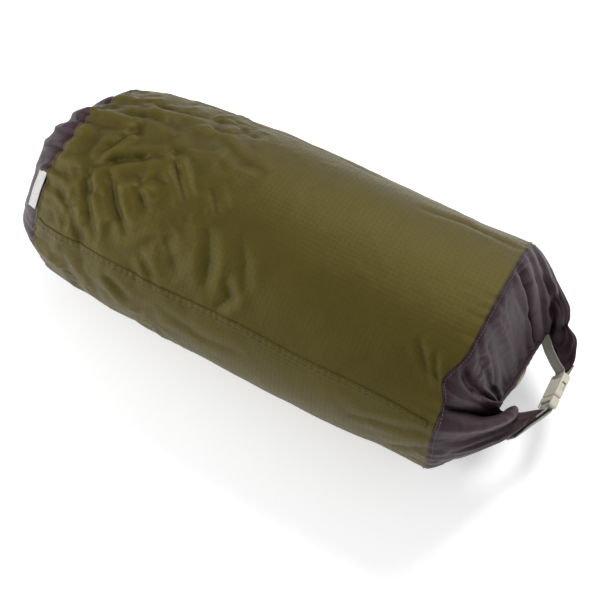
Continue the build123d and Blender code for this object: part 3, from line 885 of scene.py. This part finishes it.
# ---- near arm sleeve ---------------------------------------------------------------------------
# The near corner of the mouth, folded flat into a tapering sleeve that ends at the buckle's plug. It
# gives when the plug is drawn out.
sleeve_share = np.linspace(0, 1, 48)[:, None]
sleeve_turn = np.linspace(0, 2 * np.pi, 56, endpoint=False)[None, :]
sleeve_marks = [0, 0.45, 0.8, 1]
inner_edge = [(10, -37), (30, -20), (41, -9), (49.2, -2.2)]
outer_edge = [(22, -64), (38, -36), (47, -15), (51.6, -3.2)]
inner_edge = along_points(sleeve_marks, inner_edge, sleeve_share[:, 0])
outer_edge = along_points(sleeve_marks, outer_edge, sleeve_share[:, 0])
sleeve_half = along_points([0, 0.5, 1], [6.0, 6.6, 6.8], sleeve_share[:, 0])[:, None]
reach = outer_edge - inner_edge
round_off = np.sign(np.cos(sleeve_turn)) * np.abs(np.cos(sleeve_turn)) ** 0.8
sleeve_fold = 1 + 0.05 * np.cos(4 * sleeve_turn + 3 * sleeve_share)
sleeve_fold = sleeve_fold + 0.03 * np.cos(9 * sleeve_turn - 8 * sleeve_share)
sleeve_grid = on_loop(
    inner_edge[:, :1] + reach[:, :1] * (0.5 + 0.5 * round_off),
    inner_edge[:, 1:] + reach[:, 1:] * (0.5 + 0.5 * round_off),
    sleeve_half * np.sin(sleeve_turn) * sleeve_fold,
)
# painted light and shade on the sleeve's wrinkles
sleeve_cloth = cloth_piece(
    "near_arm_sleeve", sleeve_grid, plum_nylon, None, caps=True,
    uv=(np.linspace(0, 0.05, 57), 0.06 * sleeve_share[:, 0]), shade=9 * (sleeve_fold - 1),
)
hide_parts("near_arm_cloth")
tuple(on_loop(np.float64(22), np.float64(-44), np.float64(0)))
tuple(on_loop(np.float64(50), np.float64(-3), np.float64(0)))
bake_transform(sleeve_cloth)

# ---- webbing -----------------------------------------------------------------------------------
# Beige nylon tape, 15 mm wide and 1.5 mm thick, with a ribbed face and thicker edges. Each end of the
# mouth's tape goes round its bar of the buckle, back on itself, and is tacked down.
tape_half, tape_thickness = 7.5, 1.5
buckle_out, buckle_side = 51.0, 20.6
far_end, near_end = buckle_side + 21.0, buckle_side - 21.0
leg_offset = 1.7 + 0.1 + tape_thickness / 2
inner_leg, outer_leg = buckle_out - leg_offset, buckle_out + leg_offset
far_turn, near_turn = far_end - 3.0, near_end + 3.0


def rounded_route(corners, spacing=0.5, passes=14):
    """A flat route through its corners, its points spacing apart, rounded by repeated averaging."""
    corners = np.array(corners, float)
    run = np.concatenate([[0], np.cumsum(np.linalg.norm(np.diff(corners, axis=0), axis=1))])
    marks = np.linspace(0, run[-1], int(run[-1] / spacing) + 1)
    route = np.stack([np.interp(marks, run, corners[:, k]) for k in (0, 1)], axis=-1)
    for _ in range(passes):
        route[1:-1] = (route[:-2] + 2 * route[1:-1] + route[2:]) / 4
    return route


def half_turn(middle_side, direction):
    """Nine corners of the half circle that the tape makes round a bar, from the inner to the outer
    leg, bulging towards direction along the strap."""
    turn = np.linspace(np.pi, 0, 9)
    sides = middle_side + direction * leg_offset * np.sin(turn)
    return list(zip(buckle_out + leg_offset * np.cos(turn), sides))


def tape_grid(route):
    """A tape on edge along route: its section is a flat oval with thicker edges and cross ribs."""
    step = np.gradient(route, axis=0)
    step /= np.linalg.norm(step, axis=1, keepdims=True)
    face = np.stack([-step[:, 1], step[:, 0]], axis=-1)
    turn = np.linspace(0, 2 * np.pi, 48, endpoint=False)
    height = tape_half * np.sign(np.sin(turn)) * np.abs(np.sin(turn)) ** 0.6
    depth = tape_thickness / 2 * np.sign(np.cos(turn)) * np.abs(np.cos(turn)) ** 0.35
    rib = 1 + 0.07 * np.cos(2 * np.pi * np.arange(len(route)) * 0.5 / 1.5)[:, None]
    edge = 1 + 0.12 * np.exp(-(((np.abs(height) - tape_half + 0.9) / 0.6) ** 2))
    depth = depth[None, :] * rib * edge[None, :]
    across_face = route[:, None, :] + face[:, None, :] * depth[..., None]
    return on_loop(across_face[..., 0], across_face[..., 1], np.broadcast_to(height, depth.shape))


webbing = Finish("beige_webbing")
webbing_across, webbing_along = webbing.cloth_ways()
yarns = webbing_across.waves(0.0012)
picks = (webbing_along * (math.tau / 0.0015) + yarns * 1.6).sine()
fuzz = webbing.noise(webbing.solid(), 0.0015, 4, 0.7)
soil = webbing.noise(webbing.solid(), 0.02, 2)
webbing_tone = picks * 0.16 + (fuzz - 0.5) * 0.5 + (soil - 0.5) * 0.5 + 0.55
webbing_shade = webbing.blend(webbing_tone, (0.36, 0.34, 0.27, 1), (0.66, 0.63, 0.53, 1))
webbing.surface(
    Base_Color=webbing_shade, Roughness=0.72 + fuzz * 0.12, Sheen_Weight=0.2,
    Normal=webbing.bump(picks * 0.5 + yarns * 0.25 + fuzz * 0.5, 0.0004),
)
far_corners = [(14.25, 67), (26, 56.5), (38, 49), (inner_leg - 0.6, far_end + 3)] + half_turn(far_turn, -1)
far_corners += [(outer_leg, far_end + 3), (outer_leg + 1, far_end + 15)]
far_route = rounded_route(far_corners)
run_side = np.array([31 - outer_leg, -52 - near_end])
run_side /= np.linalg.norm(run_side)
back_knee = np.array([inner_leg, near_end - 3])
near_corners = [tuple(back_knee + 17 * run_side), tuple(back_knee)] + half_turn(near_turn, 1)
near_corners += [(outer_leg, near_end - 3), (31, -52)]
near_route = rounded_route(near_corners)


def tape_piece(name, route, body):
    """A webbing tape along route, with cloth coordinates round and along it."""
    length = np.arange(len(route)) * 0.0005
    around = np.linspace(0, 2 * (tape_half * 2 + tape_thickness) / mm, 49)
    return cloth_piece(
        name, tape_grid(route), webbing.material, body, caps=True, uv=(around, length))


socket_tape = tape_piece("socket_webbing", far_route, "loop")
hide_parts("socket_tape")
plug_tape = tape_piece("plug_webbing", near_route, None)
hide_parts("plug_tape")
tuple(on_loop(np.float64(33), np.float64(-48), np.float64(0)))
tuple(on_loop(np.float64(50), np.float64(-6), np.float64(0)))
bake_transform(plug_tape)
edge_side = np.linspace(-30, 58, 120)
edge_shift = along_points(*roll_bend, edge_side)
edge_show = np.exp(-(((edge_side - 6) / 15) ** 4))
edge_turn = np.linspace(0, 2 * np.pi, 16, endpoint=False)[None, :]
edge_reach = (8.4 + 2.4 * edge_show)[:, None]
mouth_tape_grid = on_loop(
    edge_shift[:, None] + edge_reach - 6 + 6 * np.cos(edge_turn),
    edge_side[:, None] + 0 * edge_turn,
    3.4 + (edge_reach - 9) * 0.6 + 0.75 * np.sin(edge_turn),
)
mouth_tape = cloth_piece(
    "mouth_webbing", mouth_tape_grid, webbing.material, "loop", caps=True,
    uv=(np.linspace(0, 0.03, 17), edge_side / mm),
)
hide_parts("mouth_tape")

# ---- buckle ------------------------------------------------------------------------------------
# A side-release buckle moulded in beige acetal: a socket on the far arm, and a plug on the near arm
# whose two sprung prongs click into the socket's windows.
acetal = Finish("beige_acetal")
acetal_grain = acetal.noise(acetal.solid(), 0.0006, 3)
acetal_cloud = acetal.noise(acetal.solid(), 0.008, 2)
acetal_tone = (acetal_cloud - 0.5) * 0.6 + (acetal_grain - 0.5) * 0.3 + 0.5
acetal_shade = acetal.blend(acetal_tone, (0.62, 0.58, 0.46, 1), (0.78, 0.74, 0.6, 1))
acetal.surface(
    Base_Color=acetal_shade, Roughness=acetal_grain * 0.14 + 0.34,
    Normal=acetal.bump(acetal_grain, 0.00008, 0.6),
)
for node_name in ("buckle_socket", "buckle_plug", "plug_prong_upper", "plug_prong_lower"):
    bpy.data.objects[node_name].data.materials.clear()
    bpy.data.objects[node_name].data.materials.append(acetal.material)

# ---- seams -------------------------------------------------------------------------------------
# The lengthwise seam is a fell, a double strip of the body cloth standing on the near side, with two
# rows of stitches. The collar and the bottom are topstitched beside their seams.
def thread_finish(name, dark, light):
    """Sewing thread: its colour wavers from dark to light with the twist, which also stands proud."""
    thread = Finish(name)
    twist = thread.noise(thread.solid(), 0.0005, 2)
    return thread.surface(
        Base_Color=thread.blend(twist, dark, light), Roughness=twist * 0.1 + 0.55,
        Normal=thread.bump(twist, 0.0002),
    )


olive_thread = thread_finish("olive_thread", (0.06, 0.05, 0.03, 1), (0.14, 0.12, 0.07, 1))
plum_thread = thread_finish("plum_thread", (0.12, 0.095, 0.1, 1), (0.22, 0.18, 0.19, 1))
beige_thread = thread_finish("beige_thread", (0.42, 0.39, 0.31, 1), (0.68, 0.65, 0.55, 1))


def sample_skin(grid, along, arc_mm):
    """Points of a skin grid at row positions and arc positions, interpolated between its points."""
    row = np.clip(along, 0, len(grid) - 1.001)
    column = (arc_mm / (girth * mm) + 0.5) * grid.shape[1]
    r, c = np.floor(row).astype(int), np.floor(column).astype(int)
    fr, fc = (row - r)[..., None], (column - c)[..., None]
    c0, c1 = c % grid.shape[1], (c + 1) % grid.shape[1]
    below = grid[r, c0] * (1 - fc) + grid[r, c1] * fc
    above = grid[r + 1, c0] * (1 - fc) + grid[r + 1, c1] * fc
    return below * (1 - fr) + above * fr


skin_normal = normals(skin, True)
skin_normal *= np.sign(skin_normal[120, skin_columns // 2, 2])
fell_rows = np.linspace(seam_row + 2.0, len(skin) - 4.0, 420)
fell_x = np.interp(fell_rows, np.arange(len(skin)), along_skin)
fell_arc = -136.0 + 2.0 * np.sin(fell_x * 14) + 1.2 * np.sin(fell_x * 41 + 1)
# the strip's section in mm, across and off the cloth, with a dip under each row of stitches
fell_profile = np.array([
    (-4.4, -0.5), (-4.1, 0.35), (-3.6, 0.75), (-2.4, 0.95), (-1.2, 0.62), (0, 0.95),
    (1.4, 0.95), (2.6, 0.62), (3.6, 0.95), (4.1, 0.8), (4.4, 0.35), (4.5, -0.5),
])
fell_across, fell_height = fell_profile.T[:, None, :]
fell_wave = 0.18 * np.sin(fell_x * 900)[:, None] * (np.abs(fell_across) < 4)
fell_base = sample_skin(skin, fell_rows[:, None] + 0 * fell_across, fell_arc[:, None] + fell_across)
fell_out = sample_skin(skin_normal, fell_rows[:, None] + 0 * fell_across, fell_arc[:, None] + fell_across)
fell_grid = fell_base + fell_out * ((fell_height + fell_wave) / mm)[..., None]
# painted light along the strip's middle and painted shade in two bands beside it
side_seam = cloth_piece(
    "side_seam", fell_grid, olive_ripstop, "root", closed=False,
    uv=(fell_across / mm + 0.3, fell_x), shade=0.35 * np.cos(fell_across * 1.1) + 0 * fell_x[:, None],
)
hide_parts("side_seam_fell")


def stitches(name, starts, finishes, outs, radius, lift, finish, body):
    """A row of stitches, each a six-sided thread that rises from the cloth and dips back into it: its
    radius and height follow half a sine from start to finish."""
    t = np.array([0.0, 0.2, 0.5, 0.8, 1.0])
    size = radius * np.array([0.5, 0.95, 1.0, 0.95, 0.5])
    turn = np.arange(6) * np.pi / 3
    run = finishes - starts
    side = np.cross(run, outs)
    side /= np.linalg.norm(side, axis=-1, keepdims=True)
    middle = starts[:, None] + run[:, None] * t[None, :, None]
    middle = middle + outs[:, None] * (lift * np.sin(np.pi * t))[None, :, None]
    cosine, sine = (wave[None, None, :, None] for wave in (np.cos(turn), np.sin(turn)))
    ring = side[:, None, None] * cosine + outs[:, None, None] * sine
    points = middle[:, :, None] + ring * size[None, :, None, None]
    tube = grid_faces(5, 6, True)
    count = len(starts)
    faces = (tube[None] + (np.arange(count) * 30)[:, None, None]).reshape(-1, 4).tolist()
    for offset in range(0, count * 30, 30):
        faces += [list(range(offset, offset + 6)), list(range(offset + 24, offset + 30))[::-1]]
    mesh = bpy.data.meshes.new(name)
    mesh.from_pydata(points.reshape(-1, 3).tolist(), [], faces)
    shape = bmesh.new()
    shape.from_mesh(mesh)
    bmesh.ops.recalc_face_normals(shape, faces=shape.faces)
    shape.to_mesh(mesh)
    shape.free()
    mesh.polygons.foreach_set("use_smooth", [True] * len(mesh.polygons))
    return finished(name, mesh, finish, body)


stitch_pitch, stitch_shown, end_margin = 0.0032, 0.0023, 0.002
stitch_starts, stitch_ends, stitch_outs = [], [], []
for offset in (-1.2, 2.6):
    marks = np.arange(fell_x[0] + end_margin, fell_x[-1] - end_margin, stitch_pitch)
    for shift, kept in ((0.0, stitch_starts), (stitch_shown, stitch_ends)):
        rows_at = np.interp(marks + shift, fell_x, fell_rows)
        arcs_at = np.interp(marks + shift, fell_x, fell_arc) + offset
        base = sample_skin(skin, rows_at, arcs_at)
        out_here = sample_skin(skin_normal, rows_at, arcs_at)
        kept.append(base + out_here * 0.0006)
        if kept is stitch_starts:
            stitch_outs.append(out_here)
stitches(
    "side_seam_stitches", np.concatenate(stitch_starts), np.concatenate(stitch_ends),
    np.concatenate(stitch_outs), 0.00022, 0.0003, olive_thread, "root",
)


def ring_stitches(name, grid, out_grid, row, share, finish):
    """Stitches round a closed grid at a row position, with a share of their pitch seen."""
    pitch = stitch_pitch * mm
    arcs = np.arange(-girth * mm / 2, girth * mm / 2 - pitch / 2, pitch)
    start = sample_skin(grid, np.full(len(arcs), row), arcs)
    end = sample_skin(grid, np.full(len(arcs), row), arcs + pitch * share)
    out_here = sample_skin(out_grid, np.full(len(arcs), row), arcs)
    return stitches(name, start, end, out_here, 0.00024, 0.0004, finish, "root")


ring_stitches("collar_stitches", collar, collar_out, 3.4, 0.66, plum_thread)
ring_stitches("bottom_stitches", skin, skin_normal, seam_row + 1.6, 0.7, olive_thread)


def bar_tack(name, node_name, route, body):
    """Three bars of close stitches that tack a tape's folded end down, on the side of the tape's route
    where the CAD tack lies. That tack's own corners give its middle and its axes: high, along the tape
    and off its face."""
    tack = bpy.data.objects[node_name].data.vertices
    corners = np.unique(np.array([tuple(vertex.co) for vertex in tack]).round(6), axis=0)
    middle = corners.mean(axis=0)
    high, run, out = np.linalg.svd(corners - middle, full_matrices=False)[2]
    tape_line = on_loop(route[:, 0], route[:, 1], 0.0)
    nearest = tape_line[np.linalg.norm(tape_line - middle, axis=1).argmin()]
    out = out * np.sign((middle - nearest) @ out)
    bar, up = np.meshgrid([-4.0, 0.0, 4.0], np.arange(-5.8, 5.9, 0.42))
    bar, up = bar.reshape(-1, 1) / mm, up.reshape(-1, 1) / mm
    start = middle + run * (bar - 0.001) + high * up - out * 0.00015
    end = start + run * 0.002 + high * 0.0002
    outs = np.broadcast_to(out, start.shape)
    piece = stitches(name, start, end, outs, 0.00022, 0.0002, beige_thread, body)
    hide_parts(node_name)


bar_tack("socket_tack_stitches", "socket_bartack", far_route, "loop")
bar_tack("plug_tack_stitches", "plug_bartack", near_route, "plug")

# the turned edge of the body cloth where it laps the collar and the bottom
for name, edge_rows, thick in (
    ("mouth_lap", len(skin) - np.array([1.6, 1.5, 1.2, 1.02]), 0.7),
    ("bottom_lap", seam_row + np.array([-0.2, 0.1, 1.0, 1.3]), 0.6),
):
    lap_arc = np.arange(640) / 640 * girth * mm - girth * mm / 2
    lap_rows = edge_rows[:, None] + 0 * lap_arc
    lap = sample_skin(skin, lap_rows, lap_arc + 0 * lap_rows)
    lap_out = sample_skin(skin_normal, lap_rows, lap_arc + 0 * lap_rows)
    lap_height = np.array([-0.4, thick, thick, -0.4]) / mm
    lap = lap + lap_out * lap_height[:, None, None]
    lap[..., 2] = np.maximum(lap[..., 2], 0.0001)
    lap_piece = cloth_piece(
        name, lap, olive_ripstop, "root",
        uv=(np.append(lap_arc, girth * mm / 2) / mm, np.arange(4) * 0.001),
    )
    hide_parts("collar_seam_fell" if name == "mouth_lap" else "bottom_seam_binding")

# ---- label -------------------------------------------------------------------------------------
# A blank woven label, 40 x 14 mm, caught by its long edge in the bottom seam, so that it can be
# turned over.
label_points = np.array([tuple(vertex.co) for vertex in bpy.data.objects["label"].data.vertices])
label_middle = label_points.mean(axis=0)
_, _, label_axes = np.linalg.svd(label_points - label_middle, full_matrices=False)
label_long, label_wide, label_thin = label_axes
label_thin = label_thin * np.sign(label_thin[2])
label_wide = np.cross(label_thin, label_long)
tag_length, tag_width = 0.040, 0.014
tag_across = np.linspace(-tag_length / 2, tag_length / 2, 61)[None, :]
tag_down = np.linspace(-tag_width / 2, tag_width / 2, 25)[:, None]
tag_bow = 0.0004 * np.cos(tag_across / tag_length * 2 * np.pi)
tag_bow = tag_bow + 0.0003 * np.sin(tag_down / tag_width * 4)
tag_face = (
    label_middle
    + label_long * (tag_across + 0 * tag_down)[..., None]
    + label_wide * (tag_down + 0 * tag_across)[..., None]
    + label_thin * (tag_bow + 0.0002)[..., None]
)
woven_white = Finish("woven_white")
woven_across, woven_along = woven_white.cloth_ways()
tag_weave = woven_across.waves(0.0006) * woven_along.waves(0.0009)
tag_soil = woven_white.noise(woven_white.solid(), 0.004, 3)
tag_shade = woven_white.blend(tag_soil * 0.8 + tag_weave * 0.15, (0.8, 0.79, 0.76, 1), (0.6, 0.59, 0.56, 1))
woven_white.surface(
    Base_Color=tag_shade, Roughness=0.7, Normal=woven_white.bump(tag_weave, 0.00015), Sheen_Weight=0.1)
label_cloth = cloth_piece(
    "label_cloth", tag_face, woven_white.material, "label", closed=False,
    uv=(tag_across + tag_length / 2, tag_down + tag_width / 2),
)
thick_label = label_cloth.modifiers.new("thickness", "SOLIDIFY")
thick_label.thickness = 0.0006
thick_label.offset = 0
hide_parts("label")
